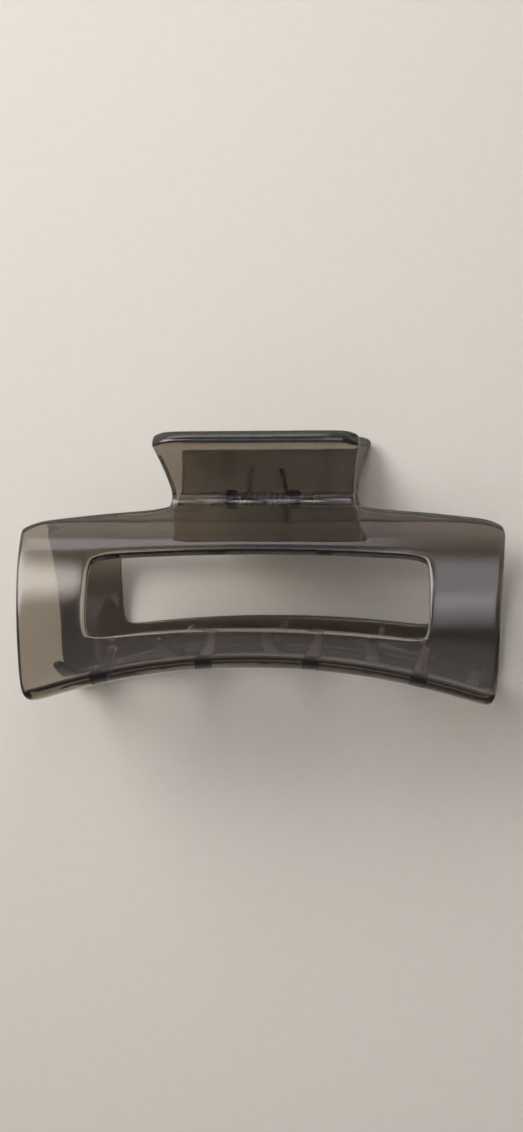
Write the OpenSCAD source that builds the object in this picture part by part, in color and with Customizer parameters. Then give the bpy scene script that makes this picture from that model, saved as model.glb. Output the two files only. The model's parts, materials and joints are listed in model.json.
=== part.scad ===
// Large open-frame claw clip, lying shut on the flat belly of its back jaw.
// X runs along the hinge pin, Y up to the handles, Z from the back jaw to the front jaw.
// The origin is on the resting plane, under the middle of the clip's outline.
// Two mouldings share one wall section and one outline, a steel pin joins them through
// four lugs, and a torsion spring on that pin pushes the handles apart.
// Heights are measured from the pin axis, and depths from the parting plane.

/* [Wall] */
// Thickness of both mouldings
wall = 2.8; // [2:0.1:3.6]
// Depth of the belly's outer face, half the thickness of the closed clip
belly_depth = 23.4; // [20:0.2:28]
// Drop from the pin to the place where the belly turns flat
flat_drop = 31; // [27:0.5:31.5]

/* [Frame of each jaw] */
// Width at half height
frame_w = 108; // [96:1:124]
// Lean of each side, wider towards the handles (degrees)
side_lean = 2.8; // [0:0.2:5]
// Drop from the pin to the middle of the top edge
frame_top = 1.8; // [1:0.1:3]
// Radius of the arched top edge
frame_top_r = 410; // [300:10:800]
// Drop from the pin to the middle of the bottom edge
frame_bottom = 37.2; // [36.8:0.2:44]
// Radius of the arched bottom edge
frame_bottom_r = 161; // [130:1:300]
// Radius of the two upper corners
top_corner = 3.8; // [2:0.1:6]
// Radius of the two lower corners
bottom_corner = 2.4; // [1.5:0.1:4]
// Outer radius of the inward curl along the bottom edge
curl_r = 5; // [4.2:0.1:5.4]

/* [Window] */
// Width of the opening
window_w = 76; // [50:1:84]
// Drop from the pin to the middle of the opening's top edge
window_top = 12.1; // [9:0.1:16]
// Radius of the opening's top edge
window_top_r = 526; // [300:2:900]
// Drop from the pin to the middle of the opening's bottom edge
window_bottom = 28.2; // [22:0.1:29]
// Radius of the opening's bottom edge
window_bottom_r = 278; // [180:2:600]
// Radius of the opening's corners
window_corner = 1.8; // [1:0.1:4]

/* [Handles] */
// Height of the lip's top edge above the pin
handle_rise = 15; // [12:0.5:24]
// Width of the neck
neck_w = 41.6; // [32:0.2:56]
// Radius of the hollow that flares each side of the handle
flare_r = 40; // [30:1:90]
// Radius of the handle's corners
handle_corner = 3; // [1.5:0.1:4]
// Radius between the neck and the frame's top edge
neck_fillet = 1.8; // [1:0.1:3]
// Diameter of the bead along the handle's lip
lip_d = 3.4; // [3:0.1:4.4]

/* [Teeth] */
// Number of teeth of both jaws together, an odd number
teeth = 9; // [5:2:13]
// Distance from the frame's side to the middle of the outermost tooth
tooth_edge = 7.2; // [6:0.2:12]
// Width of a tooth at its root
tooth_w = 4.4; // [3:0.1:5]
// Width of a tooth at its tip
tooth_tip_w = 2.4; // [1.6:0.1:3]
// Thickness of a tooth at its root
tooth_t = 3.6; // [2.8:0.1:4.2]
// Thickness of a tooth at its tip
tooth_tip_t = 1.9; // [1.4:0.1:2.6]
// Rise of a tooth's underside from its root to its tip
tooth_rise = 5.2; // [2:0.1:7]
// Distance by which a tooth passes the parting plane
tooth_cross = 3.2; // [1:0.1:5]

/* [Hinge] */
// Diameter of the steel pin
pin_d = 2; // [1.6:0.1:2.6]
// Radial play of the pin in the front jaw's lugs
pin_play = 0.05; // [0.02:0.01:0.09]
// Wall of a lug round the pin
eye_wall = 2.2; // [1.6:0.1:2.8]
// Thickness of a lug
lug_t = 2.4; // [1.8:0.1:3]
// Distance from the middle of the clip to the middle of a front lug
front_lug_x = 7.2; // [6.4:0.1:9]
// Side play between a front lug and the back lug beside it
lug_gap = 0.4; // [0.2:0.1:0.8]
// Length of pin that stands out of each back lug
pin_end = 0.5; // [0.3:0.1:1]
// Gap from a lug's eye to the neck of the other jaw
neck_clear = 1.6; // [1:0.1:2.6]
// Radius of the neck's bend, over that of a lug's eye
bend_over_eye = 0.8; // [0.4:0.1:2]

/* [Spring] */
// Diameter of the spring wire
wire_d = 1.2; // [0.9:0.1:1.4]
// Turns of the coil
coil_turns = 7; // [4:1:7]
// Gap between the coil and the pin
coil_play = 1; // [0.6:0.1:1.2]
// Gap between the coil and the front lugs
coil_end_gap = 0.5; // [0.3:0.1:1]
// Distance from the pin to the bend of a leg
leg_reach = 11.5; // [9:0.5:13]
// Length of leg that lies along the handle past the bend
foot_len = 3; // [2:0.5:5]
// Gap between a foot and the handle it presses on
foot_gap = 0.05; // [0.02:0.01:0.1]

/* [Hidden] */

$fn = 96;
spare = 1;            // length by which cutting shapes pass what they cut
curl_root = 0.6;      // height of flat wall that the curl starts with
lip_over = 0.2;       // height by which the handle's corner rounds pass its lip
arch_pass = 0.1;      // depth by which the lower corner rounds pass the arch
tooth_inset = 0.1;    // step from the curl's edge to a tooth's underside
tooth_root = 0.8;     // height by which a tooth enters the curl
shoulder_steps = 24;  // straight steps in the shoulder's arc
bend_steps = 16;      // straight steps in the neck's bend
edge_steps = 6;       // straight steps in half of a long edge
corner_steps = 6;     // straight steps in a corner round
join = 12;            // degrees that a round leaves to the edge it meets
join_mid = 0.5;       // degrees that each half of a long edge leaves to the other half
wire_sides = 10;      // sides of the wire's section
turn_steps = 20;      // rings of wire in one turn
smoke = [0.36, 0.32, 0.28, 0.8];
steel = [0.72, 0.72, 0.74];

// Hinge
eye_r = pin_d / 2 + eye_wall;
back_lug_x = front_lug_x + lug_t + lug_gap;
pin_half = back_lug_x + lug_t / 2 + pin_end;

// Wall section: middle line of the wall as [height, depth] from the pin
bend_r = eye_r + bend_over_eye;
bend_depth = eye_r + neck_clear + wall / 2 + bend_r;
belly_mid = belly_depth - wall / 2;
belly_step = belly_mid - bend_depth;
shoulder_r = (belly_step * belly_step + flat_drop * flat_drop - bend_r * bend_r)
    / (2 * (belly_step + bend_r));
shoulder_centre = [-flat_drop, belly_mid - shoulder_r];
shoulder_start = atan2(bend_depth - shoulder_centre[1], flat_drop);
lip_r = lip_d / 2;
lip_centre = [handle_rise - lip_r, belly_depth - lip_r];
lip_step = [lip_centre[0], lip_centre[1] - bend_depth];
lip_dist = norm(lip_step);
handle_lean = atan2(lip_step[1], lip_step[0]) + asin(bend_r / lip_dist);
handle_foot = [bend_r * sin(handle_lean), bend_depth - bend_r * cos(handle_lean)];

// Outline of the frame
side_slope = tan(side_lean);
side_mid = -(frame_top + frame_bottom) / 2;
arch_y = -frame_bottom - frame_bottom_r;
arch_half = asin((frame_w / 2 + 4 * spare) / frame_bottom_r);
curl_mid = curl_r - wall / 2;
flange_depth = belly_mid - curl_mid;

// Teeth
tooth_top = flange_depth + tooth_root;
tooth_len = flange_depth + tooth_cross;
tooth_low_r = arc_through(tooth_len, tooth_rise);
tooth_up_r = arc_through(tooth_len, tooth_rise + tooth_tip_t - tooth_t);
tooth_step = asin((frame_w / 2 - tooth_edge) / frame_bottom_r) * 2 / (teeth - 1);

// Box of the closed clip, and the pin's place in it
low_corner = corner_centre(frame_w / 2, side_slope, side_mid, arch_y,
    frame_bottom_r + bottom_corner - arch_pass, bottom_corner);
low_y = low_corner[1] - bottom_corner;
pin_y = -(handle_rise + low_y) / 2;
pin_z = belly_depth;

// Spring
coil_r = pin_d / 2 + coil_play + wire_d / 2;
coil_half = front_lug_x - lug_t / 2 - coil_end_gap - wire_d / 2;
face_offset = handle_foot[1] * cos(handle_lean) - handle_foot[0] * sin(handle_lean)
    - wall / 2 - wire_d / 2 - foot_gap;
leg_lean = handle_lean + asin((coil_r + face_offset) / leg_reach);
leg_start = leg_lean - 90;
coil_sweep = 360 * coil_turns + 2 * leg_start;
coil_steps = ceil(coil_sweep / 360 * turn_steps);

// Radius of an arc that leaves flat and rises by this much over this length
function arc_through(length, rise) = (length * length + rise * rise) / (2 * rise);

// Centre of a corner round: radius r inside a leaning side, at distance dist from [0, cy]
function corner_centre(half, slope, ref, cy, dist, r) = let(
    x0 = half - slope * ref - r * sqrt(1 + slope * slope),
    a = 1 + slope * slope,
    b = 2 * (x0 * slope - cy),
    c = x0 * x0 + cy * cy - dist * dist,
    y = (-b + sqrt(b * b - 4 * a * c)) / (2 * a)
) [x0 + slope * y, y];

// Points along an arc
function turn(centre, r, from, to, steps) = [
    for (i = [0:steps]) let(a = from + (to - from) * i / steps)
        centre + r * [cos(a), sin(a)]
];

// Right-hand points, then the same points on the left, so that they close the shape
function both_sides(right) = concat(right, [
    for (i = [len(right) - 1:-1:0]) [-right[i][0], right[i][1]]
]);

function heading(v) = atan2(v[1], v[0]);

function unit(v) = v / norm(v);

// ---- Plane shapes ----

module window_outline() {
    half = window_w / 2;
    mid = -(window_top + window_bottom) / 2;
    top = [0, -window_top - window_top_r];
    low = [0, -window_bottom - window_bottom_r];
    up = corner_centre(half, 0, mid, top[1], window_top_r - window_corner, window_corner);
    down = corner_centre(half, 0, mid, low[1], window_bottom_r + window_corner, window_corner);
    polygon(both_sides(concat(
        turn(top, window_top_r, 90 - join_mid, heading(up - top), edge_steps),
        turn(up, window_corner, heading(up - top) - join, 0, corner_steps),
        turn(down, window_corner, 0, heading(low - down) + join, corner_steps),
        turn(low, window_bottom_r, heading(down - low), 90 - join_mid, edge_steps)
    )));
}

// Frame and handle in one: hollow handle sides, small fillets, arched top, leaning sides.
// Its lower edge runs free, for the curl ends on the arch by itself.
module jaw_outline() {
    half = neck_w / 2;
    mid = -(frame_top + frame_bottom) / 2;
    top = [0, -frame_top - frame_top_r];
    low = [0, arch_y];
    fillet_x = half + neck_fillet;
    fillet = [fillet_x, top[1] + sqrt(pow(frame_top_r + neck_fillet, 2) - fillet_x * fillet_x)];
    flare = [half + flare_r, fillet[1]];
    tip_y = handle_rise + lip_over - handle_corner;
    tip = [flare[0] - sqrt(pow(flare_r + handle_corner, 2) - pow(tip_y - flare[1], 2)), tip_y];
    up = corner_centre(frame_w / 2, side_slope, mid, top[1], frame_top_r - top_corner, top_corner);
    side = -side_lean;
    polygon(both_sides(concat(
        [[tip[0], handle_rise + spare]],
        turn(tip, handle_corner, 90, heading(flare - tip), corner_steps),
        turn(flare, flare_r, heading(tip - flare), 180, corner_steps),
        turn(fillet, neck_fillet, 180 + join, 360 + heading(top - fillet) - join, corner_steps),
        turn(top, frame_top_r, heading(fillet - top), heading(up - top), edge_steps),
        turn(up, top_corner, heading(up - top) - join, side, corner_steps),
        turn(low_corner, bottom_corner, side, heading(low - low_corner), corner_steps)
    )));
}

// Points of the wall's section at this distance outside its middle line: belly, shoulder,
// bend of the neck and handle. The belly is left long for the arch to trim.
function wall_side(out) = concat(
    [[-frame_bottom - frame_w / 4, belly_mid + out]],
    turn(shoulder_centre, shoulder_r + out, 90, shoulder_start, shoulder_steps),
    turn([0, bend_depth], bend_r - out, shoulder_start - 180, handle_lean - 90, bend_steps),
    [lip_centre + out * [-sin(handle_lean), cos(handle_lean)]]
);

// Section of a jaw through its whole height
module wall_section() {
    inner = wall_side(-wall / 2);
    polygon(concat(
        wall_side(wall / 2),
        [for (i = [len(inner) - 1:-1:0]) inner[i]]
    ));
    translate(lip_centre) circle(lip_r);
}

// Lug seen along the pin: an eye and a web that runs into the neck's bend
module lug_section() {
    circle(eye_r);
    difference() {
        translate([-eye_r, 0]) square([2 * eye_r, bend_depth]);
        translate([0, bend_depth]) circle(bend_r);
    }
}

// Tooth seen along the pin, as [height over the bottom edge, depth]
module tooth_side() {
    intersection() {
        translate([tooth_low_r, flange_depth]) circle(tooth_low_r, $fn = 180);
        difference() {
            translate([0, -tooth_cross - spare])
                square([tooth_t + tooth_rise + spare, tooth_cross + spare + tooth_top]);
            translate([tooth_t + tooth_up_r, flange_depth]) circle(tooth_up_r, $fn = 180);
        }
    }
}

// Tooth seen from above: it narrows to a round tip
module tooth_plan() {
    tip_r = tooth_tip_w / 2;
    tip = tip_r - tooth_cross;
    polygon([
        [-tooth_w / 2, tooth_top],
        [-tip_r, tip],
        [tip_r, tip],
        [tooth_w / 2, tooth_top]
    ]);
    translate([0, tip]) circle(tip_r);
}

// ---- Solids ----

// Stands a [height, depth] shape across the clip, centred on x
module across(width, x = 0) {
    translate([x - width / 2, 0, 0]) rotate([90, 0, 90]) linear_extrude(width) children();
}

module tooth() {
    intersection() {
        across(2 * tooth_w) tooth_side();
        translate([0, tooth_t + tooth_rise + spare, 0]) rotate([90, 0, 0])
            linear_extrude(tooth_t + tooth_rise + 2 * spare) tooth_plan();
    }
}

// Curl along the arched bottom edge
module curl() {
    translate([0, arch_y, 0]) rotate([0, 0, 90 - arch_half])
        rotate_extrude(angle = 2 * arch_half, $fn = 360)
            translate([frame_bottom_r + curl_r, flange_depth]) {
                intersection() {
                    difference() {
                        circle(curl_r);
                        circle(curl_r - wall);
                    }
                    translate([-curl_r - spare, 0]) square(curl_r + spare);
                }
                translate([0, curl_r - wall]) square([curl_root, wall]);
            }
}

// One moulding, its belly towards +Z: walls, curl, teeth at these places, and two lugs
module jaw(tooth_places, lug_x, bore_r) {
    difference() {
        union() {
            difference() {
                intersection() {
                    union() {
                        difference() {
                            across(2 * frame_w) wall_section();
                            translate([0, arch_y, -spare])
                                cylinder(r = frame_bottom_r + curl_r, h = belly_depth + 2 * spare,
                                    $fn = 360);
                        }
                        curl();
                    }
                    linear_extrude(belly_depth + spare) jaw_outline();
                }
                linear_extrude(belly_depth + spare) window_outline();
            }
            for (place = tooth_places) translate([0, arch_y, 0]) rotate([0, 0, place * tooth_step])
                translate([0, frame_bottom_r + tooth_inset, 0]) tooth();
            for (s = [1, -1]) across(lug_t, s * lug_x) lug_section();
        }
        rotate([0, 90, 0]) cylinder(r = bore_r, h = 2 * (lug_x + lug_t), center = true);
    }
}

// Puts a piece that is built round the pin in its place over the resting plane
module placed() {
    translate([0, pin_y, pin_z]) children();
}

// Front jaw: the even places of the row of teeth, lugs inside those of the back jaw
module front_jaw() {
    places = [for (i = [1 : 2 : teeth - 2]) i - (teeth - 1) / 2];
    color(smoke) placed() jaw(places, front_lug_x, pin_d / 2 + pin_play);
}

// Back jaw: the odd places, outer lugs that grip the pin
module back_jaw() {
    places = [for (i = [0 : 2 : teeth - 1]) i - (teeth - 1) / 2];
    color(smoke) placed() mirror([0, 0, 1]) jaw(places, back_lug_x, pin_d / 2);
}

// Steel pin with chamfered ends
module hinge_pin() {
    r = pin_d / 2;
    chamfer = r * 0.3;
    color(steel) placed() rotate([0, 90, 0]) rotate_extrude() polygon([
        [0, -pin_half],
        [r - chamfer, -pin_half],
        [r, chamfer - pin_half],
        [r, pin_half - chamfer],
        [r - chamfer, pin_half],
        [0, pin_half]
    ]);
}

// Torsion spring. Its wire runs in from the foot on the back handle, round the coil, and out
// to the foot on the front handle.
function leg_point(side, along) = let(
    bend = coil_r * [sin(leg_lean), -cos(leg_lean)] + leg_straight * [cos(leg_lean), sin(leg_lean)],
    p = bend + along * [cos(handle_lean), sin(handle_lean)]
) [side * coil_half, p[0], side * p[1]];

function coil_point(t) = let(a = -leg_start + t * coil_sweep)
    [coil_half * (2 * t - 1), coil_r * cos(a), coil_r * sin(a)];

function between(a, b, t) = a + (b - a) * t;

leg_straight = sqrt(leg_reach * leg_reach - coil_r * coil_r);
leg_rings = [1, 0.25, 0];
back_leg = [for (k = leg_rings) leg_point(-1, k * foot_len)];
coil_path = [for (i = [0 : coil_steps]) coil_point(i / coil_steps)];
front_leg = [for (i = [len(leg_rings) - 1 : -1 : 0]) leg_point(1, leg_rings[i] * foot_len)];
wire_path = concat(back_leg, coil_path, front_leg);

// Tube of wire along a path: each ring stands square to the path and keeps level with the pin
module wire(path) {
    last = len(path) - 1;
    rings = [for (i = [0 : last]) let(
        run = unit(path[min(i + 1, last)] - path[max(i - 1, 0)]),
        side = unit(cross(run, [1, 0, 0])),
        up = cross(side, run)
    ) for (k = [0 : wire_sides - 1]) let(a = 360 * k / wire_sides)
        path[i] + wire_d / 2 * (cos(a) * side + sin(a) * up)];
    skin = [for (i = [0 : last - 1]) for (k = [0 : wire_sides - 1]) let(
        n = (k + 1) % wire_sides,
        lower = i * wire_sides,
        upper = lower + wire_sides
    ) [lower + k, lower + n, upper + n, upper + k]];
    start_cap = [for (k = [wire_sides - 1 : -1 : 0]) k];
    end_cap = [for (k = [0 : wire_sides - 1]) last * wire_sides + k];
    polyhedron(rings, concat(skin, [start_cap, end_cap]));
}

module spring() {
    color(steel) placed() wire(wire_path);
}

front_jaw();
back_jaw();
hinge_pin();
spring();
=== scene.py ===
# %% [markdown]
# # A large open-frame claw clip
# Two smoke-grey mouldings with a window each, hinged on a steel pin and pushed shut by a
# torsion spring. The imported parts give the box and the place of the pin, and this file gives
# the looks: smooth walls with rounded rims, curved teeth, lugs, the wound wire, and clear
# tinted plastic.

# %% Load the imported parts
import json
import math

import bpy
from mathutils import Matrix, Vector


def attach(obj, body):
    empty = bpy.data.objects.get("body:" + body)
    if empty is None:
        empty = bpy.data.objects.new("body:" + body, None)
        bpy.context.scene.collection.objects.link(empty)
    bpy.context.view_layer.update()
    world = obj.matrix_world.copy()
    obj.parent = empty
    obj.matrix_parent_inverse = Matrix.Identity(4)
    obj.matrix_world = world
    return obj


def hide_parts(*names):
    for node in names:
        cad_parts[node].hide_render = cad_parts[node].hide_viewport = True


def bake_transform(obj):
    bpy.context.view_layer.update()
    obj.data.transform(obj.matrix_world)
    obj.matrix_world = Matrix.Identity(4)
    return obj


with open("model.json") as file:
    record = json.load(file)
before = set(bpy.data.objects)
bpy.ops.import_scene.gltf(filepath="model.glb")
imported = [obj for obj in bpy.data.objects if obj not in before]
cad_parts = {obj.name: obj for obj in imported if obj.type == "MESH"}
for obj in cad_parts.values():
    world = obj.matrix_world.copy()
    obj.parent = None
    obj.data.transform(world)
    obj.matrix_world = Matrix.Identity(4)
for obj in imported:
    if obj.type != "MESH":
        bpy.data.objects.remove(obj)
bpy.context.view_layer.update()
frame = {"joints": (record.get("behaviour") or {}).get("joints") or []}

MM = 0.001
scene = bpy.context.scene
pin_place = Vector(frame["joints"][0]["pos_m"])

# %% [markdown]
# ## Camera
# The clip lies on its back jaw and is looked at from straight above, a little from its own
# right and from the handles' side. A long lens at about 43 cm keeps the two jaws close in
# size. The camera could be aimed with a constraint, but three plain directions are enough.

# %% Camera
AIM_FROM_PIN = Vector((-1.2, -15.5, 0))
CAMERA_DISTANCE = 425
azimuth, elevation, roll = math.radians(7.0), math.radians(2.3), math.radians(-0.2)

target = pin_place + AIM_FROM_PIN * MM
toward = Vector((
    math.sin(azimuth) * math.cos(elevation),
    math.sin(elevation),
    math.cos(azimuth) * math.cos(elevation),
))
bpy.ops.object.camera_add(location=target + CAMERA_DISTANCE * MM * toward)
camera = bpy.context.object
behind = toward.normalized()
right = Vector((0, 1, 0)).cross(behind).normalized()
up = behind.cross(right)
turn = Matrix.Rotation(roll, 3, behind)
right, up = turn @ right, turn @ up
camera.rotation_euler = Matrix((right, up, behind)).transposed().to_euler()
camera.data.sensor_fit = "VERTICAL"
camera.data.sensor_height = 36
camera.data.lens = 58.5
camera.data.clip_start = 0.01
scene.camera = camera
print("camera at", tuple(round(v, 3) for v in camera.location))

# %% [markdown]
# ## Colours and nodes
# Colours are written as the sRGB hex values that a paint program shows. One function turns
# them to the linear values that shaders use, and one function adds any node to a material.

# %% Helpers for materials
def colour(code):
    """Linear colour of an sRGB hex value such as '#D8D2C8'."""
    parts = [int(code[i:i + 2], 16) / 255 for i in (1, 3, 5)]
    return tuple(c / 12.92 if c < 0.04045 else ((c + 0.055) / 1.055) ** 2.4 for c in parts) + (1,)


def add(tree, kind, inputs=None, links=None, **settings):
    """Adds one node with its settings, its plain inputs and its incoming links."""
    node = tree.nodes.new(kind)
    for key, value in settings.items():
        setattr(node, key, value)
    for key, value in (inputs or {}).items():
        node.inputs[key].default_value = value
    for key, (source, output) in (links or {}).items():
        tree.links.new(source.outputs[output], node.inputs[key])
    return node


def new_material(name):
    """An empty material and its node tree."""
    material = bpy.data.materials.new(name)
    material.use_nodes = True
    material.node_tree.nodes.clear()
    return material, material.node_tree


print("mid grey is", round(colour("#808080")[0], 3), "in linear light")

# %% [markdown]
# ## Moulded smoke polycarbonate
# The jaws are injection-moulded polycarbonate, polished by the mould, so the gloss is sharp
# and the body is clear. The grey-brown tint is dissolved in the plastic. It could be a base
# colour, but then a thick place would look like a thin one. So it is given as absorption in
# the volume, which makes thick places and doubled walls darker by themselves. Cooling leaves
# the surface very slightly wavy, and handling leaves hairlines in the gloss.

# %% Smoke polycarbonate
WAVE_SIZE, WAVE_HEIGHT = 9.0, 0.05            # mm, from uneven shrinking
POLISH_SIZE, POLISH_HEIGHT = 1.2, 0.0008      # mm, from the polish of the mould
HAIR_SIZE, HAIR_STRETCH = 6.0, 14             # hairlines in mm, wider than real ones, to show


def smoke_polycarbonate():
    material, tree = new_material("moulded smoke polycarbonate")
    coords = add(tree, "ShaderNodeTexCoord")
    waves = add(tree, "ShaderNodeTexNoise", {"Scale": 1 / (WAVE_SIZE * MM), "Detail": 1.0},
                {"Vector": (coords, "Object")})
    polish = add(tree, "ShaderNodeTexNoise", {"Scale": 1 / (POLISH_SIZE * MM), "Detail": 2.0},
                 {"Vector": (coords, "Object")})
    wave_bump = add(tree, "ShaderNodeBump", {"Strength": 1.0, "Distance": WAVE_HEIGHT * MM},
                    {"Height": (waves, "Fac")})
    bump = add(tree, "ShaderNodeBump", {"Strength": 1.0, "Distance": POLISH_HEIGHT * MM},
               {"Height": (polish, "Fac"), "Normal": (wave_bump, "Normal")})
    stretch = add(tree, "ShaderNodeMapping",
                  {"Scale": (1, HAIR_STRETCH, HAIR_STRETCH), "Rotation": (0, 0, 0.5)},
                  {"Vector": (coords, "Object")})
    hairs = add(tree, "ShaderNodeTexNoise", {"Scale": 1 / (HAIR_SIZE * MM), "Detail": 4.0},
                {"Vector": (stretch, "Vector")})
    rough = add(tree, "ShaderNodeMapRange",
                {"From Min": 0.45, "From Max": 0.75, "To Min": 0.02, "To Max": 0.075},
                {"Value": (hairs, "Fac")})
    shader = add(tree, "ShaderNodeBsdfPrincipled",
                 {"Base Color": (1, 1, 1, 1), "IOR": 1.585, "Transmission Weight": 0.985},
                 {"Roughness": (rough, "Result"), "Normal": (bump, "Normal")})
    tint = add(tree, "ShaderNodeVolumeAbsorption", {"Color": colour("#AA9A7E"), "Density": 630.0})
    add(tree, "ShaderNodeOutputMaterial", {},
        {"Surface": (shader, "BSDF"), "Volume": (tint, "Volume")})
    return material


smoke = smoke_polycarbonate()
print("made", smoke.name)

# %% [markdown]
# ## Steel
# The pin is cut from ground steel rod and the spring is wound from drawn spring wire. Both
# are bare metal with fine marks: grinding leaves rings round the pin, and drawing leaves
# lines along the wire. Real marks are a few hundredths of a millimetre apart, so they are
# drawn coarser, from a noise of 0.4 mm that is squeezed across the marks.

# %% Pin and spring steel
MARK_SIZE, MARK_DEPTH = 0.4, 0.004


def bare_steel(name, code, squeeze, low, high):
    """Bare steel whose marks are squeezed along X, Y and Z by the factors given."""
    material, tree = new_material(name)
    coords = add(tree, "ShaderNodeTexCoord")
    squeezed = add(tree, "ShaderNodeMapping", {"Scale": squeeze}, {"Vector": (coords, "Object")})
    marks = add(tree, "ShaderNodeTexNoise", {"Scale": 1 / (MARK_SIZE * MM), "Detail": 3.0},
                {"Vector": (squeezed, "Vector")})
    rough = add(tree, "ShaderNodeMapRange", {"To Min": low, "To Max": high},
                {"Value": (marks, "Fac")})
    bump = add(tree, "ShaderNodeBump", {"Strength": 1.0, "Distance": MARK_DEPTH * MM},
               {"Height": (marks, "Fac")})
    shader = add(tree, "ShaderNodeBsdfPrincipled",
                 {"Base Color": colour(code), "Metallic": 1.0},
                 {"Roughness": (rough, "Result"), "Normal": (bump, "Normal")})
    add(tree, "ShaderNodeOutputMaterial", {}, {"Surface": (shader, "BSDF")})
    return material


pin_steel = bare_steel("ground steel rod", "#A9A9AB", (8, 1, 1), 0.2, 0.38)
spring_steel = bare_steel("oil-tempered spring steel wire", "#4B4845", (1, 3, 3), 0.35, 0.55)
print("made", pin_steel.name, "and", spring_steel.name)

# %% [markdown]
# ## The wall's section
# Both jaws are bent to one section. Seen along the pin, a height is measured from the pin
# and a depth from the plane where the jaws part. The belly is flat, the shoulder is one
# large arc, the neck is a tight bend over the hinge, and the handle is straight. The
# shoulder's radius follows from the others, because it touches the belly and the bend.

# %% Section of the wall
WALL = 2.8            # thickness of the plastic
BELLY_DEPTH = 23.4    # outer face of the belly
FLAT_DROP = 31.0      # the belly is flat from this far under the pin
BEND_R = 4.0          # radius of the neck's bend, in the middle of the wall
BEND_DEPTH = 10.2     # centre of that bend
LIP_R = 1.7           # radius of the bead along the lip, as in the solids
HANDLE_RISE = 15.0    # height of the lip's end

BELLY_MID = BELLY_DEPTH - WALL / 2
NECK_DEPTH = BEND_DEPTH - BEND_R
STEP = BELLY_MID - BEND_DEPTH
SHOULDER_R = (STEP ** 2 + FLAT_DROP ** 2 - BEND_R ** 2) / (2 * (STEP + BEND_R))
SHOULDER_DEPTH = BELLY_MID - SHOULDER_R
BEND_END = -FLAT_DROP * BEND_R / (SHOULDER_R + BEND_R)

# Centre of the bead, lean of the handle, its foot on the bend, and its direction
LIP = Vector((HANDLE_RISE - LIP_R, BELLY_DEPTH - LIP_R))
lip_step = LIP - Vector((0, BEND_DEPTH))
LEAN = math.atan2(lip_step.y, lip_step.x) + math.asin(BEND_R / lip_step.length)
FOOT = Vector((BEND_R * math.sin(LEAN), BEND_DEPTH - BEND_R * math.cos(LEAN)))
ALONG = Vector((math.cos(LEAN), math.sin(LEAN)))


def mid_depth(height):
    """Depth of the wall's middle at a height."""
    if height <= -FLAT_DROP:
        return BELLY_MID
    if height <= BEND_END:
        return SHOULDER_DEPTH + math.sqrt(SHOULDER_R ** 2 - (height + FLAT_DROP) ** 2)
    if height <= FOOT.x:
        return BEND_DEPTH - math.sqrt(BEND_R ** 2 - height ** 2)
    return FOOT.y + (height - FOOT.x) * math.tan(LEAN)


print("shoulder radius", round(SHOULDER_R, 2), "handle lean", round(math.degrees(LEAN), 1))

# %% [markdown]
# ## The outline
# Seen from above, the frame is as wide as the clip, with arched edges and with sides that
# lean out a little towards the handle. An arch is given by how far its middle lies under the
# pin and by its radius, as a designer draws it. The handle is narrowest just under the pin
# and flares on one arc. Along the bottom the wall curls inwards: a tight quarter turn, then a
# short flange.

# %% Outline of the frame and handle
FRAME_HALF = 54.0
SIDE_SLOPE = math.tan(math.radians(2.8))
SIDE_MID = -19.5      # height where the frame has its nominal width
FRAME_TOP, FRAME_TOP_R = 1.8, 410.0
FRAME_BOTTOM, FRAME_BOTTOM_R = 37.2, 161.0
WINDOW_HALF = 38.0
WINDOW_TOP, WINDOW_TOP_R = 12.1, 526.0
WINDOW_LOW, WINDOW_LOW_R = 28.2, 278.0
NECK_HALF = 20.8
FLARE_R = 40.0
FLARE_START = -0.5    # height where the handle is narrowest
CURL_R = 3.2          # outer radius of the curl
CURL_DROP = 3.6       # from the middle of the belly to the end of the flange

CURL_MID = CURL_R - WALL / 2
ARCH_CENTRE = -FRAME_BOTTOM - FRAME_BOTTOM_R
FLANGE = BELLY_MID - CURL_DROP


def arch(drop, radius, x):
    """Height at x of an arched edge whose middle lies this far under the pin."""
    return -drop - radius + math.sqrt(radius ** 2 - x ** 2)


def side_half(height):
    """Half the frame's width at a height."""
    return FRAME_HALF + SIDE_SLOPE * (height - SIDE_MID)


def handle_half(height):
    """Half the handle's width at a height."""
    return NECK_HALF + FLARE_R - math.sqrt(FLARE_R ** 2 - max(height - FLARE_START, 0) ** 2)


print("handle", 2 * NECK_HALF, "to", round(2 * handle_half(HANDLE_RISE), 1), "mm wide")

# %% [markdown]
# ## The blank of a jaw
# A jaw could be carved from a block with booleans, but its rims would then be hard to round.
# Here half of it starts as a flat grid. The cells of the window and of the space beside the
# handle are deleted, and each grid line is laid on one line of the real outline and section.
# Mirror, Solidify, Bevel and Subdivision then give the wall, the rounded rims and the smooth
# surface, in the order in which a modeller would stack them.
#
# The rows run from the lip to the end of the curl. The first ones belong to the handle alone,
# and the rest to the frame. A rim stands square on the wall, so on a leaning wall it reaches
# further than the sheet does, and the sheet's edge is drawn back by that much.

# %% Rows and columns of the grid
BEAD_R = 1.6          # half the bead's thickness; with LIP_R it would swell past the solids
# Along the handle from the centre of the bead, and then by height
BEAD_ROWS = [1.25, -0.1, -0.85]
HANDLE_ROWS = BEAD_ROWS + [-1.5, -2.9, -5.5, -8.5, -11.5, -14.4]
BEND_ROWS = [FOOT.x, 1.9, 0.0]
FRAME_ROWS = ["edge", "rim", "rail start", "rail", "window top", "high stile", "mid stile",
              "low stile", "window low", "low rail", "curl 0", "curl 1", "curl 2", "curl 3"]
FIRST_FRAME_ROW = len(HANDLE_ROWS) + len(BEND_ROWS)
WINDOW_TOP_ROW = FIRST_FRAME_ROW + FRAME_ROWS.index("window top")
WINDOW_LOW_ROW = FIRST_FRAME_ROW + FRAME_ROWS.index("window low")
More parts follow.
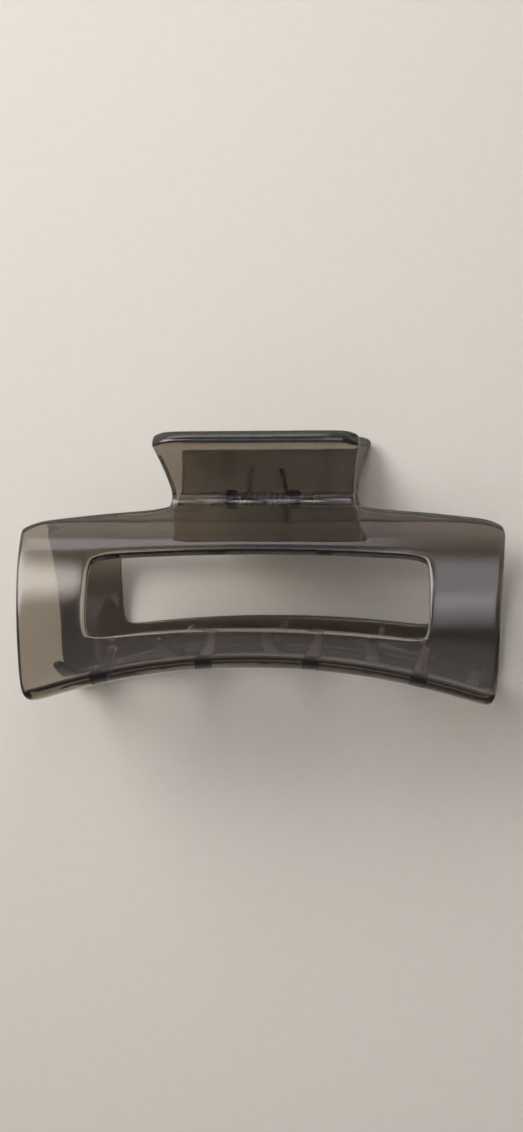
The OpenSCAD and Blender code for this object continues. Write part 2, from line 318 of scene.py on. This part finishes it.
# Across, from the middle of the clip
COLUMNS = [0.0, 5.2, 10.4, 15.8, NECK_HALF, 25.2, 30.0, 34.9, WINDOW_HALF, 42.0, 46.2, 50.2,
           FRAME_HALF]
NECK_COLUMN, WINDOW_COLUMN = COLUMNS.index(NECK_HALF), COLUMNS.index(WINDOW_HALF)
LAST_ROW, LAST_COLUMN = FIRST_FRAME_ROW + len(FRAME_ROWS) - 1, len(COLUMNS) - 1

# How far the sheet is drawn back at the two leaning edges, and strips along the edges
EDGE_DRAW, WINDOW_DRAW = 0.62, 0.23
RIM_STRIP, RAIL_START, WINDOW_STRIP = 1.6, 3.6, 3.0
# Turn of each row of the curl, and its depth under the middle of the belly
QUARTER = math.radians(90)
CURL_ROWS = {
    "curl 0": (0, 0),
    "curl 1": (QUARTER / 2, CURL_MID * (1 - math.cos(QUARTER / 2))),
    "curl 2": (QUARTER, CURL_MID),
    "curl 3": (QUARTER, CURL_DROP),
}


def frame_row(name, x):
    """Height and depth of a row of the frame at x. The curl's rows turn inwards."""
    if name in CURL_ROWS:
        angle, drop = CURL_ROWS[name]
        radius = FRAME_BOTTOM_R + CURL_R - CURL_MID * math.sin(angle)
        return ARCH_CENTRE + math.sqrt(radius ** 2 - x ** 2), BELLY_MID - drop
    top = arch(FRAME_TOP, FRAME_TOP_R, x) - EDGE_DRAW
    window_top = arch(WINDOW_TOP, WINDOW_TOP_R, x) + WINDOW_DRAW
    window_low = arch(WINDOW_LOW, WINDOW_LOW_R, x)
    curl = arch(FRAME_BOTTOM - CURL_R, FRAME_BOTTOM_R + CURL_R, x)
    height = {
        "edge": top,
        "rim": top - RIM_STRIP,
        "rail start": top - RAIL_START,
        "rail": (top - RAIL_START + window_top) / 2,
        "window top": window_top,
        "high stile": window_top - WINDOW_STRIP,
        "mid stile": (window_top + window_low) / 2,
        "low stile": window_low + WINDOW_STRIP,
        "window low": window_low,
        "low rail": (window_low + curl) / 2,
    }[name]
    return height, mid_depth(height)


print("grid of", LAST_COLUMN + 1, "columns and", LAST_ROW + 1, "rows for half a jaw")

# %% [markdown]
# ## Round corners
# Seen from above, every corner of the real moulding is round, by 2 to 4 mm. Subdivision
# alone rounds a corner of the grid by less, so the corner's points are moved first: inwards
# at the lip, the frame and the curl, and into the empty space in the window and between
# handle and frame, where the plastic has a fillet. The strip along the handle's side keeps
# its width, so that the rim stays as round as the others.

# %% Points of the grid
# Steps inwards and down the handle, row by row from the lip
LIP_CORNERS = [(1.5, 1.25), (0.75, 0.15), (0.2, 0.0)]
# Steps outwards and up
FRAME_CORNERS = {
    (NECK_COLUMN, "edge"): (0.6, 0.6),
    (WINDOW_COLUMN, "window top"): (-0.7, -0.7),
    (WINDOW_COLUMN, "window low"): (-0.7, 0.7),
    (LAST_COLUMN, "edge"): (-0.836, -0.836),
    (LAST_COLUMN, "curl 0"): (-0.2, 0.1),
    (LAST_COLUMN, "curl 1"): (-0.9, 0.6),
    (LAST_COLUMN, "curl 2"): (-1.25, 0.95),
    (LAST_COLUMN, "curl 3"): (-1.5, 1.1),
}
SIDE_STRIP = 3.4


def handle_point(column, row):
    """Point of the handle or neck, in mm from the pin."""
    at_corner = column == NECK_COLUMN and row < len(LIP_CORNERS)
    inwards, down = LIP_CORNERS[row] if at_corner else (0, 0)
    if row < len(HANDLE_ROWS):
        height, depth = LIP + (HANDLE_ROWS[row] - down) * ALONG
    else:
        height = BEND_ROWS[row - len(HANDLE_ROWS)]
        depth = mid_depth(height)
    half = handle_half(height)
    x = half - SIDE_STRIP if column == NECK_COLUMN - 1 else COLUMNS[column] * half / NECK_HALF
    return Vector((x - inwards, height, depth))


def frame_point(column, name):
    """Point of the frame, in mm from the pin."""
    x = COLUMNS[column]
    height, depth = frame_row(name, x)
    if column > WINDOW_COLUMN:
        share = (x - WINDOW_HALF) / (FRAME_HALF - WINDOW_HALF)
        x = WINDOW_HALF + share * (side_half(height) - WINDOW_HALF)
        height, depth = frame_row(name, x)
    step_x, step_up = FRAME_CORNERS.get((column, name), (0, 0))
    x, height = x + step_x, height + step_up
    if name not in CURL_ROWS:
        depth = mid_depth(height)
    return Vector((x, height, depth))


def grid_point(column, row):
    if row < FIRST_FRAME_ROW:
        return handle_point(column, row)
    return frame_point(column, FRAME_ROWS[row - FIRST_FRAME_ROW])


print("lip corner at", [round(v, 2) for v in grid_point(NECK_COLUMN, 0)], "mm from the pin")

# %% [markdown]
# ## Working by hand, in code
# The next helpers do what a hand does in the viewport: leave everything unselected, enter
# edit mode with some vertices or faces chosen by their place, run an operator, and apply a
# modifier.

# %% Helpers for modelling
def nothing_selected():
    if bpy.context.object and bpy.context.object.mode != "OBJECT":
        bpy.ops.object.mode_set(mode="OBJECT")
    bpy.ops.object.select_all(action="DESELECT")


def only(piece):
    """Makes piece the one selected and active object."""
    nothing_selected()
    piece.select_set(True)
    bpy.context.view_layer.objects.active = piece
    return piece


def edit(piece, mode, chosen):
    """Enters edit mode with the vertices or faces for which chosen is true selected."""
    only(piece)
    bpy.ops.object.mode_set(mode="EDIT")
    bpy.ops.mesh.select_mode(type=mode)
    bpy.ops.mesh.select_all(action="DESELECT")
    bpy.ops.object.mode_set(mode="OBJECT")
    items = piece.data.polygons if mode == "FACE" else piece.data.vertices
    for item in items:
        item.select = bool(chosen(item))
    bpy.ops.object.mode_set(mode="EDIT")


def done():
    bpy.ops.object.mode_set(mode="OBJECT")


def in_place(piece):
    """Moves an object's place, turn and size into its mesh."""
    only(piece)
    bpy.ops.object.transform_apply(location=True, rotation=True, scale=True)
    return piece


def modify(piece, kind, **settings):
    """Adds a modifier and applies it."""
    only(piece)
    modifier = piece.modifiers.new(kind.title(), kind)
    for key, value in settings.items():
        setattr(modifier, key, value)
    bpy.ops.object.modifier_apply(modifier=modifier.name)
    return piece


def join(pieces, name):
    """Joins pieces into the first one and names it."""
    nothing_selected()
    for piece in pieces:
        piece.select_set(True)
    bpy.context.view_layer.objects.active = pieces[0]
    bpy.ops.object.join()
    pieces[0].name = name
    return pieces[0]


# %% [markdown]
# ## From sheet to wall
# The sheet is the middle of the plastic. Its thickness comes from a vertex group, so that the
# rows of the bead grow thicker than the wall, as on the real lip. The bevel is 0.7 mm wide
# and leaves a narrow flat in the middle of each rim, which catches a thin line of light.

# %% The wall of a jaw
WALL_LESS = 0.04       # keeps the smoothed wall inside the box of the solids


def jaw_sheet(name):
    """Sheet of half a jaw round the pin at the origin, in mm, its belly towards +Z."""
    nothing_selected()
    bpy.ops.mesh.primitive_grid_add(x_subdivisions=LAST_COLUMN, y_subdivisions=LAST_ROW, size=2)
    sheet = bpy.context.object
    sheet.name = name

    def cell(p):
        return (p.x + 1) / 2 * LAST_COLUMN, (1 - p.y) / 2 * LAST_ROW

    def is_open(face):
        column, row = cell(face.center)
        beside_handle = row < FIRST_FRAME_ROW and column > NECK_COLUMN
        window = WINDOW_TOP_ROW < row < WINDOW_LOW_ROW and column < WINDOW_COLUMN
        return beside_handle or window

    edit(sheet, "FACE", is_open)
    bpy.ops.mesh.delete(type="FACE")
    done()
    thick = sheet.vertex_groups.new(name="wall thickness")
    for vertex in sheet.data.vertices:
        column, row = (round(v) for v in cell(vertex.co))
        bead = row < len(BEAD_ROWS)
        thick.add([vertex.index], 1.0 if bead else (WALL - WALL_LESS) / (2 * BEAD_R), "REPLACE")
        vertex.co = grid_point(column, row)
    return sheet


def jaw_wall(name):
    """The whole smooth wall of a jaw."""
    wall = jaw_sheet(name)
    modify(wall, "MIRROR", use_clip=True)
    modify(wall, "SOLIDIFY", thickness=2 * BEAD_R, offset=0, use_even_offset=True,
           vertex_group="wall thickness")
    modify(wall, "BEVEL", width=0.7, segments=2, limit_method="ANGLE",
           angle_limit=math.radians(50), profile=0.5, use_clamp_overlap=False)
    modify(wall, "SUBSURF", levels=2, render_levels=2)
    print(name, "wall of", len(wall.data.polygons), "faces")
    return wall


# %% [markdown]
# ## Sink marks
# Thick plastic shrinks more as it cools, so the outer face dips a little where a lug stands
# behind the neck, and the highlight across the neck waves there. A bump in the material could
# fake it, but a real dent also bends the edge of the highlight. A proportional move makes it.

# %% Sink marks over the lugs
SINK_DEPTH, SINK_REACH = 0.55, 7


def sink_mark(wall, x):
    """A shallow dent in the neck's outer face, over the middle of a lug."""
    spot = Vector((x, 0, NECK_DEPTH + WALL / 2))
    nearest = min(wall.data.vertices, key=lambda vertex: (vertex.co - spot).length).index
    edit(wall, "VERT", lambda vertex: vertex.index == nearest)
    bpy.ops.transform.translate(
        value=(0, 0, -SINK_DEPTH), use_proportional_edit=True,
        proportional_edit_falloff="SMOOTH", proportional_size=SINK_REACH)
    done()


print("sink marks", SINK_DEPTH, "mm deep")

# %% [markdown]
# ## Teeth
# A tooth is a tapering finger that curves inwards, so that the teeth of the two jaws cross
# like laced fingers. One tooth is drawn out of a small block by repeated extrusion, its edges
# are rounded, and copies are turned about the centre of the arched edge to their places. The
# block starts inside the curl, so that the tooth grows out of the plastic with no gap.

# %% One tooth
TOOTH_W, TIP_W = 4.0, 2.4
TOOTH_LOW, TOOTH_HIGH = 0.45, 3.1     # its two sides at the root, over the curl's edge
LOW_RISE, HIGH_RISE = 5.2, 4.0        # how far each side rises on its arc to the tip
TOOTH_CROSS = 3.2                     # reach past the plane where the jaws part
TOOTH_EDGE = 7.2                      # from the frame's side to the outermost tooth
TOOTH_STEPS = 8                       # steps between the outermost teeth
TIP_ROUND, TIP_SHRINK = 0.75, 0.62
BLOCK_DEPTH, BLOCK_Y = 1.8, 2.4       # start of the block inside the wall, and its middle
BLOCK_W, BLOCK_T, BLOCK_H = 3.2, 1.9, 0.8
TOOTH_LEN = FLANGE + TOOTH_CROSS
TOOTH_STEP = 2 * math.asin((FRAME_HALF - TOOTH_EDGE) / FRAME_BOTTOM_R) / TOOTH_STEPS


def tooth_section(reach):
    """Centre height, thickness and width of a tooth at a distance from its root."""
    def rise(total):
        r = (TOOTH_LEN ** 2 + total ** 2) / (2 * total)
        return r - math.sqrt(r * r - reach * reach)
    low = TOOTH_LOW + rise(LOW_RISE)
    high = TOOTH_HIGH + rise(HIGH_RISE)
    width = TOOTH_W + (TIP_W - TOOTH_W) * reach / TOOTH_LEN
    return (low + high) / 2, high - low, width


def make_tooth():
    nothing_selected()
    bpy.ops.mesh.primitive_cube_add(
        size=1, location=(0, BLOCK_Y, FLANGE + BLOCK_DEPTH + BLOCK_H / 2))
    tooth = bpy.context.object
    tooth.scale = (BLOCK_W, BLOCK_T, BLOCK_H)
    in_place(tooth)
    edit(tooth, "FACE", lambda face: face.normal.z < -0.9)
    at, was = -BLOCK_DEPTH, (BLOCK_Y, BLOCK_T, BLOCK_W)
    # The cuts lie closer together where the tooth leaves the curl
    for reach in (0.3, 2.5, 5.5, 9, 12.5, 16, 19, TOOTH_LEN - TIP_ROUND, TOOTH_LEN):
        now = tooth_section(reach)
        tip = TIP_SHRINK if reach == TOOTH_LEN else 1.0
        bpy.ops.mesh.extrude_region_move(
            TRANSFORM_OT_translate={"value": (0, now[0] - was[0], at - reach)})
        bpy.ops.transform.resize(value=(tip * now[2] / was[2], tip * now[1] / was[1], 1))
        at, was = reach, now
    done()
    modify(tooth, "BEVEL", width=0.85, segments=2, limit_method="ANGLE",
           angle_limit=math.radians(50))
    return modify(tooth, "SUBSURF", levels=1, render_levels=1)


print("teeth", round(TOOTH_LEN, 1), "mm long,", round(math.degrees(TOOTH_STEP), 2), "deg apart")

# %% [markdown]
# ## Lugs
# Each jaw has two lugs under its neck, and the pin runs through all four. A lug is an eye
# round the pin with a web up to the neck. It could be an extruded drawing, but a disc whose
# upper half is squared off and drawn up into the bend gives the same shape in a few steps.

# %% One lug
EYE_R, LUG_T = 3.2, 2.4
WEB_TOP = NECK_DEPTH + 0.7            # a little past the middle of the wall


def make_lug(x):
    nothing_selected()
    bpy.ops.mesh.primitive_circle_add(
        vertices=40, radius=EYE_R, fill_type="NGON", rotation=(0, math.pi / 2, 0))
    lug = in_place(bpy.context.object)
    edit(lug, "VERT", lambda vertex: vertex.co.z > 0.01)
    bpy.ops.transform.resize(value=(1, 1, 0))
    done()
    lift = WEB_TOP - max(vertex.co.z for vertex in lug.data.vertices)
    edit(lug, "VERT", lambda vertex: vertex.co.z > 0.01)
    bpy.ops.transform.translate(value=(0, 0, lift))
    bpy.ops.mesh.select_all(action="SELECT")
    bpy.ops.transform.translate(value=(x - LUG_T / 2, 0, 0))
    bpy.ops.mesh.extrude_region_move(TRANSFORM_OT_translate={"value": (LUG_T, 0, 0)})
    bpy.ops.mesh.select_all(action="SELECT")
    bpy.ops.mesh.normals_make_consistent(inside=False)
    done()
    return modify(lug, "BEVEL", width=0.3, segments=2, limit_method="ANGLE",
                  angle_limit=math.radians(50))


print("lugs", LUG_T, "mm thick, web up to", round(WEB_TOP, 1), "mm over the pin")

# %% [markdown]
# ## Putting a jaw together
# The real jaw is one shot of plastic, and clear plastic shows every inner wall. So the
# teeth and lugs are fused with the wall by a Boolean, and the pin's bore is cut the same way.
# The finished mesh is then moved to its place over the floor, and the object stays at the
# origin.

# %% Fusing and placing
def to_place(piece, side):
    """Turns mm round the pin into metres in the shared frame. Side -1 is the back jaw."""
    piece.data.transform(
        Matrix.Translation(pin_place) @ Matrix.Diagonal((MM, MM, side * MM, 1)))
    if side < 0:
        edit(piece, "FACE", lambda face: True)
        bpy.ops.mesh.flip_normals()
        done()
    piece.data.update()


def shade(piece, degrees, material):
    """Smooth shading across edges flatter than an angle, and one material all over."""
    only(piece)
    bpy.ops.object.shade_smooth_by_angle(angle=math.radians(degrees))
    piece.data.materials.clear()
    piece.data.materials.append(material)


def fuse(piece, other, operation):
    modify(piece, "BOOLEAN", object=other, operation=operation, solver="EXACT")
    bpy.data.objects.remove(other)


def turned_copy(tooth, steps):
    """Copy of the tooth, turned by a number of steps about the centre of the arch."""
    copy = tooth.copy()
    copy.data = tooth.data.copy()
    scene.collection.objects.link(copy)
    copy.data.transform(
        Matrix.Translation((0, ARCH_CENTRE, 0))
        @ Matrix.Rotation(steps * TOOTH_STEP, 4, "Z")
        @ Matrix.Translation((0, FRAME_BOTTOM_R, 0)))
    return copy


def make_jaw(name, side, tooth_steps, lug_x, bore_r):
    wall = jaw_wall(name)
    for x in (lug_x, -lug_x):
        sink_mark(wall, x)
    lugs = [make_lug(lug_x), make_lug(-lug_x)]
    tooth = make_tooth()
    teeth = [turned_copy(tooth, steps) for steps in tooth_steps]
    bpy.data.objects.remove(tooth)
    fuse(wall, join(lugs + teeth, "lugs and teeth"), "UNION")
    nothing_selected()
    bpy.ops.mesh.primitive_cylinder_add(
        vertices=48, radius=bore_r, depth=2 * lug_x + 3 * LUG_T, rotation=(0, math.pi / 2, 0))
    fuse(wall, in_place(bpy.context.object), "DIFFERENCE")
    to_place(wall, side)
    shade(wall, 40, smoke)
    print(name, len(wall.data.polygons), "faces,",
          [round(v / MM, 1) for v in wall.dimensions], "mm")
    return wall


# %% [markdown]
# ## The two jaws
# They differ only in their teeth and lugs. The front jaw has 4 teeth and the back jaw 5, in
# the gaps between them. The front lugs are the inner pair and turn on the pin with a little
# play. The back lugs are the outer pair and hold the pin fast: their bores are drawn a hair
# wider than the pin, because faces that coincide flicker in a render.

# %% Front and back jaw
FRONT_LUG_X, BACK_LUG_X = 7.2, 10.0
FRONT_BORE_R, BACK_BORE_R = 1.05, 1.02

front_jaw = make_jaw("front_jaw_moulding", 1, [-3, -1, 1, 3], FRONT_LUG_X, FRONT_BORE_R)
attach(front_jaw, "front_half")
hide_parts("front_jaw")

back_jaw = make_jaw("back_jaw_moulding", -1, [-4, -2, 0, 2, 4], BACK_LUG_X, BACK_BORE_R)
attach(back_jaw, "back_half")
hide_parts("back_jaw")

# %% [markdown]
# ## Pin
# A short rod, its ends eased so that it starts easily in the bores. The rings that the insets
# leave on each end keep the shading there flat.

# %% Hinge pin
PIN_R, PIN_LEN = 1.0, 23.4
nothing_selected()
bpy.ops.mesh.primitive_cylinder_add(
    vertices=48, radius=PIN_R, depth=PIN_LEN, rotation=(0, math.pi / 2, 0))
pin = in_place(bpy.context.object)
pin.name = "hinge_rod"
edit(pin, "FACE", lambda face: abs(face.normal.x) > 0.9)
bpy.ops.mesh.inset(thickness=0.32)
bpy.ops.mesh.inset(thickness=0.3)
done()
modify(pin, "BEVEL", width=0.24, segments=3, limit_method="ANGLE", angle_limit=math.radians(50))
to_place(pin, 1)
shade(pin, 35, pin_steel)
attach(pin, "back_half")
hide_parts("hinge_pin")
print("pin", [round(v / MM, 2) for v in pin.dimensions], "mm")

# %% [markdown]
# ## Spring
# Torsion spring: seven turns round the pin, with one leg from each end of the coil to the
# inner face of a handle. The wire's path is a formula, so it is drawn as a curve with a
# round section and then made a mesh. It has to wind up as the clip opens.

# %% Path of the wire
WIRE_D = 1.2
COIL_R, COIL_HALF, TURNS = 2.6, 4.9, 7    # in the middle of the wire
LEG_REACH = 11.5                          # from the pin's axis to the bend of the foot
FOOT_LEN = 3.0                            # the last stretch, which lies along the handle
FOOT_GAP = 0.05                           # between the foot and the handle
BEND_CUT = 0.8                            # the bend is rounded from this far on both sides
COIL_STEPS = 260

face_offset = (FOOT.y * math.cos(LEAN) - FOOT.x * math.sin(LEAN)
               - WALL / 2 - WIRE_D / 2 - FOOT_GAP)
leg_lean = LEAN + math.asin((COIL_R + face_offset) / LEG_REACH)
leg_straight = math.sqrt(LEG_REACH ** 2 - COIL_R ** 2)
sweep = 2 * math.pi * TURNS + 2 * (leg_lean - math.pi / 2)


def leg_point(side, along):
    """Point of a foot, at a distance along the handle from the bend."""
    root = COIL_R * Vector((math.sin(leg_lean), -math.cos(leg_lean)))
    p = root + leg_straight * Vector((math.cos(leg_lean), math.sin(leg_lean))) + along * ALONG
    return Vector((side * COIL_HALF, p.x, side * p.y))


def coil_point(t):
    a = math.pi / 2 - leg_lean + t * sweep
    return Vector((COIL_HALF * (2 * t - 1), COIL_R * math.cos(a), COIL_R * math.sin(a)))


coil = [coil_point(i / COIL_STEPS) for i in range(COIL_STEPS + 1)]


def leg(side):
    """From the foot's end to the coil, with a small round at the bend."""
    bend, end = leg_point(side, 0), coil[0] if side < 0 else coil[-1]
    inward = (end - bend).normalized()
    foot = [leg_point(side, share * FOOT_LEN) for share in (1, 0.66, 0.3)]
    near = [bend + 0.25 * (leg_point(side, BEND_CUT) - bend) + 0.25 * BEND_CUT * inward]
    return foot + near + [bend + k * inward for k in (0.9, 3, 6, 9)]


points = leg(-1) + coil + leg(1)[::-1]
length = sum((a - b).length for a, b in zip(points, points[1:]))
print("wire", round(length, 1), "mm long")

# %% [markdown]
# A tube made from a curve can have doubled points at its caps, so doubles are merged and the
# normals are turned outwards once it is a mesh.

# %% Wound wire
curve = bpy.data.curves.new("spring wire", "CURVE")
curve.dimensions = "3D"
curve.bevel_depth = WIRE_D / 2
curve.bevel_resolution = 3
curve.use_fill_caps = True
spline = curve.splines.new("POLY")
spline.points.add(len(points) - 1)
for point, p in zip(spline.points, points):
    point.co = (*p, 1)
wire = bpy.data.objects.new("wound_wire", curve)
scene.collection.objects.link(wire)
only(wire)
bpy.ops.object.convert(target="MESH")
wire = bpy.context.object
to_place(wire, 1)
edit(wire, "FACE", lambda face: True)
bpy.ops.mesh.remove_doubles(threshold=0.01 * MM)
bpy.ops.mesh.normals_make_consistent(inside=False)
done()
shade(wire, 50, spring_steel)
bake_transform(wire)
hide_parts("spring")
print("spring", len(wire.data.polygons), "faces")

# %% [markdown]
# ## Table
# The clip lies on a matt pale board, wide enough to fill the view. A flat colour would look
# like paper on a screen, so a faint fibre pattern of 3 mm varies its tone.

# %% Table top
FIBRE_SIZE = 3.0      # mm
TABLE_SIZE = 6        # m
nothing_selected()
bpy.ops.mesh.primitive_plane_add(size=TABLE_SIZE, location=(0, 0, 0))
table = bpy.context.object
table.name = "table_top"
board, tree = new_material("matt pale board")
coords = add(tree, "ShaderNodeTexCoord")
fibres = add(tree, "ShaderNodeTexNoise", {"Scale": 1 / (FIBRE_SIZE * MM), "Detail": 6.0},
             {"Vector": (coords, "Object")})
tone = add(tree, "ShaderNodeValToRGB", {}, {"Fac": (fibres, "Fac")})
tone.color_ramp.elements[0].color = colour("#DFDDD6")
tone.color_ramp.elements[1].color = colour("#E5E3DC")
shader = add(tree, "ShaderNodeBsdfPrincipled", {"Roughness": 0.7}, {"Base Color": (tone, "Color")})
add(tree, "ShaderNodeOutputMaterial", {}, {"Surface": (shader, "BSDF")})
table.data.materials.append(board)
print("table top", table.dimensions.x, "m wide")

# %% [markdown]
# ## Soft lights
# Clear, glossy plastic shows every light as a reflection, so a light is placed where a face
# of the clip mirrors it. The main soft light, up and to the left, gives the shadows. The low
# window puts a sheen on the neck and the top rail, the tall panel lights the right side, and
# the two panels overhead lighten the flat rails. A light with a hard edge would show as a
# bright card, so each fades towards its edges, as a cloth diffuser does. The narrowed spread
# keeps the light on the clip and off the far floor.

# %% Lights
LIGHT_SPREAD = math.radians(120)
FADE_START, FADE_END = 0.2, 0.5       # from the light's middle, 0.5 being its edge


def soft_light(name, place_mm, size_mm, watts, code):
    """A soft light at a place in the shared frame. It faces the clip and fades outwards."""
    nothing_selected()
    bpy.ops.object.light_add(type="AREA", location=Vector(place_mm) * MM)
    light = bpy.context.object
    light.name = name
    light.data.shape = "RECTANGLE"
    light.data.size, light.data.size_y = (s * MM for s in size_mm)
    light.data.energy = watts
    light.data.color = colour(code)[:3]
    light.data.spread = LIGHT_SPREAD
    aim = Vector(place_mm) * MM - pin_place
    light.rotation_euler = aim.to_track_quat("Z", "Y").to_euler()
    light.data.use_nodes = True
    tree = light.data.node_tree
    tree.nodes.clear()
    face = add(tree, "ShaderNodeNewGeometry")
    centred = add(tree, "ShaderNodeVectorMath", {1: (0.5, 0.5, 0)}, {0: (face, "Parametric")},
                  operation="SUBTRACT")
    absolute = add(tree, "ShaderNodeVectorMath", {}, {0: (centred, "Vector")},
                   operation="ABSOLUTE")
    axes = add(tree, "ShaderNodeSeparateXYZ", {}, {"Vector": (absolute, "Vector")})
    edge = add(tree, "ShaderNodeMath", {}, {0: (axes, "X"), 1: (axes, "Y")},
               operation="MAXIMUM")
    fade = add(tree, "ShaderNodeMapRange",
               {"From Min": FADE_START, "From Max": FADE_END, "To Min": 1.0, "To Max": 0.0},
               {"Value": (edge, "Value")}, interpolation_type="SMOOTHSTEP")
    glow = add(tree, "ShaderNodeEmission", {}, {"Strength": (fade, "Result")})
    add(tree, "ShaderNodeOutputLight", {}, {"Surface": (glow, "Emission")})


soft_light("main soft light", (-410, 420, 520), (700, 700), 4.8, "#FFFAF4")
soft_light("low window behind the handles", (-110, 520, 215), (300, 130), 0.125, "#E4DEEC")
soft_light("tall panel, right", (50, 345, 485), (220, 600), 0.44, "#E8E2EE")
soft_light("small panel overhead", (0, 165, 520), (280, 260), 0.13, "#E4E6F0")
soft_light("near panel overhead", (-45, -170, 560), (380, 440), 0.15, "#EEE6EC")

# %% [markdown]
# ## Room
# The room is brighter near the horizon than overhead, and brighter behind the handles than
# on the near side, like a room with pale walls and a dark ceiling. The gloss picks this up as
# a slow change of tone, where an even world would make the plastic look flat.

# %% Room
world = bpy.data.worlds.new("pale room")
scene.world = world
world.use_nodes = True
tree = world.node_tree
tree.nodes.clear()
sky = add(tree, "ShaderNodeTexCoord")
split = add(tree, "ShaderNodeSeparateXYZ", {}, {"Vector": (sky, "Generated")})
by_height = add(tree, "ShaderNodeMapRange",
                {"From Min": 0.0, "From Max": 0.5, "To Min": 1.1, "To Max": 0.2},
                {"Value": (split, "Z")}, interpolation_type="SMOOTHSTEP")
to_window = add(tree, "ShaderNodeVectorMath", {1: (-0.5, 0.85, 0)},
                {"Vector": (sky, "Generated")}, operation="DOT_PRODUCT")
by_side = add(tree, "ShaderNodeMapRange",
              {"From Min": -1.0, "From Max": 1.0, "To Min": 0.3, "To Max": 1.3},
              {"Value": (to_window, "Value")})
strength = add(tree, "ShaderNodeMath", {}, {0: (by_height, "Result"), 1: (by_side, "Result")},
               operation="MULTIPLY")
walls = add(tree, "ShaderNodeBackground", {"Color": colour("#F3EAE2")},
            {"Strength": (strength, "Value")})
add(tree, "ShaderNodeOutputWorld", {}, {"Surface": (walls, "Background")})
scene.view_settings.view_transform = "Standard"
print("room", world.name, "seen through the", scene.view_settings.view_transform, "transform")
